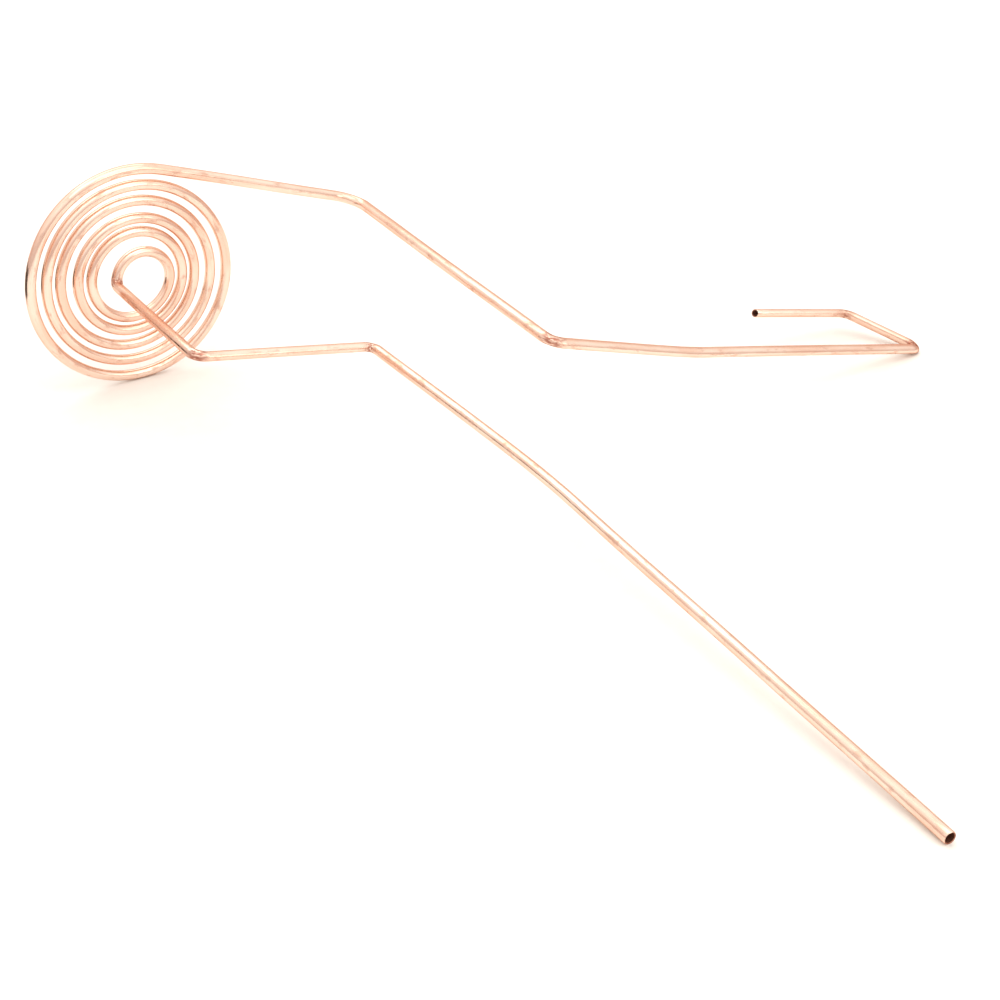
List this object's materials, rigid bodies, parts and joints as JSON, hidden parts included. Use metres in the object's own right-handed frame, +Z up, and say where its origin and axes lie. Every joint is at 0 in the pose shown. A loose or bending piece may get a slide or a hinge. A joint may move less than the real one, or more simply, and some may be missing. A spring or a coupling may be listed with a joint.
{
  "type": "immersion wort chiller",
  "caption": "Flat spiral of bright copper tube with two long bent legs, one ending in a hook, to cool wort in a kettle.",
  "frame": {"origin": "middle of the chiller's overall box, on the surface it lies on", "axes": "+Z up from that surface; +X along the upper half of the long leg, towards its open end; the coil stands on edge at the -X end and the hook lies on the +Y side"},
  "size_m": [0.9548, 0.7742, 0.2073],
  "materials": {
    "copper_tube": "bright drawn copper, polished"
  },
  "bodies": {
    "root": {"long_leg_mouth": "copper_tube", "long_leg_upper": "copper_tube", "long_leg_sway": "copper_tube", "long_leg_lower": "copper_tube", "long_leg_elbow": "copper_tube", "crossover": "copper_tube", "crossover_elbow": "copper_tube", "centre_riser": "copper_tube", "coil_foot_elbow": "copper_tube", "coil_turn_1": "copper_tube", "coil_turn_2": "copper_tube", "coil_turn_3": "copper_tube", "coil_turn_4": "copper_tube", "coil_turn_5": "copper_tube", "coil_lead_out": "copper_tube", "rim_run": "copper_tube", "rim_elbow": "copper_tube", "rim_riser": "copper_tube", "arm_elbow": "copper_tube", "hook_arm_inner": "copper_tube", "hook_arm_sway": "copper_tube", "hook_arm_outer": "copper_tube", "hook_elbow": "copper_tube", "hook_drop": "copper_tube", "tail_elbow": "copper_tube", "hook_tail": "copper_tube", "hook_mouth": "copper_tube"}
  },
  "joints": []
}
